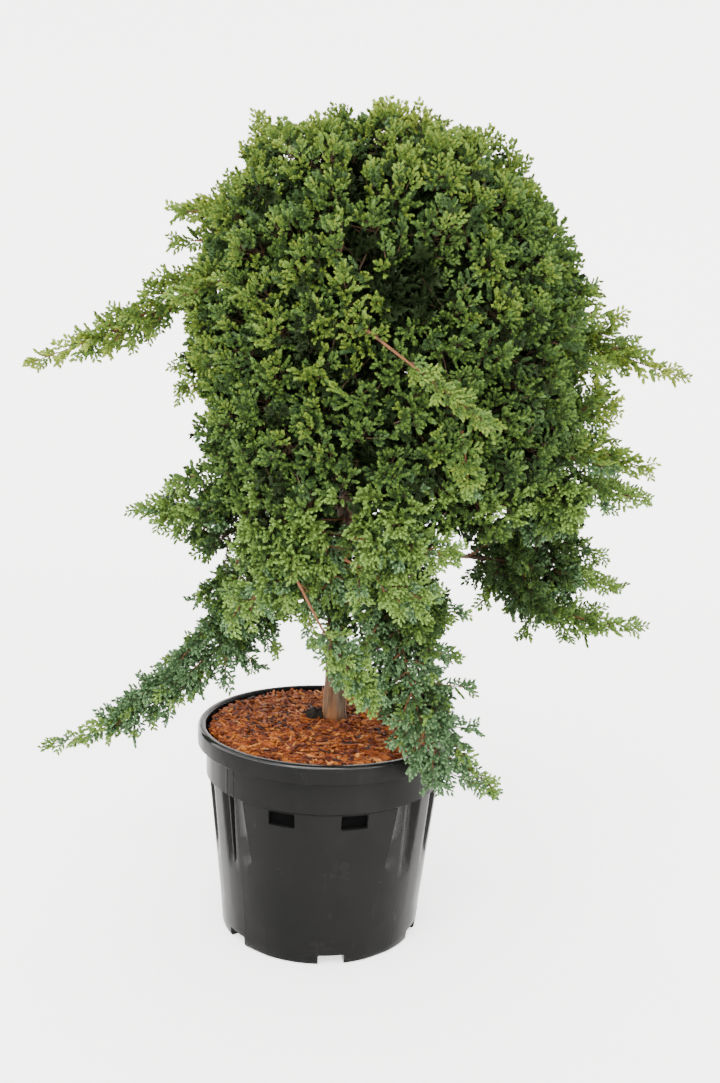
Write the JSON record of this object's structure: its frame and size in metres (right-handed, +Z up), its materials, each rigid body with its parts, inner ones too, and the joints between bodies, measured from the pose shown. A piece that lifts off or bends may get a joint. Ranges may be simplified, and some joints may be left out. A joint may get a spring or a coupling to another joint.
{
  "type": "potted standard juniper",
  "caption": "Weeping juniper grafted on a straight stem, with a domed crown and hanging shoots, in a ribbed black nursery pot filled with bark mulch.",
  "frame": {"origin": "centre of the pot's flat underside, where the plant stands", "axes": "+Z up along the stem, -Y to the front of the picture, +X to the right seen from the front"},
  "size_m": [0.7308, 0.396, 0.9596],
  "materials": {
    "pot_plastic": "black moulded plastic with a soft gloss",
    "bark_chips": "loose orange-brown shredded bark",
    "bark": "grey-brown young bark, finely fissured",
    "needles": "dense short needles, olive green above and blue-green below"
  },
  "bodies": {
    "root": {"back_left_curtain": "needles", "back_right_curtain": "needles", "bough_back_left_curtain": "bark", "bough_back_right_curtain": "bark", "bough_flank_1": "bark", "bough_flank_2": "bark", "bough_flank_3": "bark", "bough_flank_4": "bark", "bough_flank_5": "bark", "bough_flank_6": "bark", "bough_front_curtain": "bark", "bough_front_left_curtain": "bark", "bough_front_spray": "bark", "bough_left_curtain": "bark", "bough_low_left": "bark", "bough_lower_skirt": "bark", "bough_right_curtain": "bark", "bough_right_hanging": "bark", "bough_shoulder_1": "bark", "bough_shoulder_2": "bark", "bough_shoulder_3": "bark", "bough_shoulder_4": "bark", "bough_shoulder_5": "bark", "bough_shoulder_6": "bark", "bough_upper_skirt": "bark", "crest_1": "needles", "crest_2": "needles", "crest_3": "needles", "crest_4": "needles", "flank_1": "needles", "flank_2": "needles", "flank_3": "needles", "flank_4": "needles", "flank_5": "needles", "flank_6": "needles", "front_curtain": "needles", "front_left_curtain": "needles", "front_spray": "needles", "left_curtain": "needles", "low_left": "needles", "lower_skirt": "needles", "mulch": "bark_chips", "pot": "pot_plastic", "right_curtain": "needles", "right_hanging": "needles", "shoulder_1": "needles", "shoulder_2": "needles", "shoulder_3": "needles", "shoulder_4": "needles", "shoulder_5": "needles", "shoulder_6": "needles", "stem": "bark", "top": "needles", "upper_skirt": "needles"}
  },
  "joints": []
}
